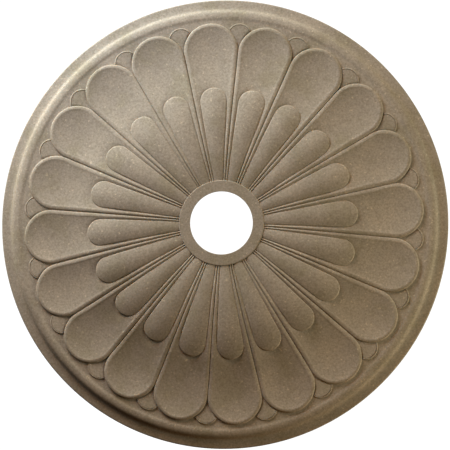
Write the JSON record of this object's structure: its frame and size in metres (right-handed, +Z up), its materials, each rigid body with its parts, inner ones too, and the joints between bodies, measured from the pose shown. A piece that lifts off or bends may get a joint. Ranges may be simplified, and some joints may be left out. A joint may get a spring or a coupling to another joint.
{
  "type": "ceiling rose",
  "caption": "Round moulded ceiling rose with scooped petals, a raised tongue in each, a plain rolled rim and a lamp hole in a flat ring.",
  "frame": {"origin": "middle of the flat back, on the ceiling plane, on the axis of the lamp hole", "axes": "+Z up into the ceiling along the rose's axis, the relief faces -Z; one petal points along +X"},
  "size_m": [0.68, 0.68, 0.035],
  "materials": {
    "sandy_paint": "sandy taupe paint, fine mottle, matte"
  },
  "bodies": {
    "root": {"ceiling_rose": "sandy_paint"}
  },
  "joints": []
}
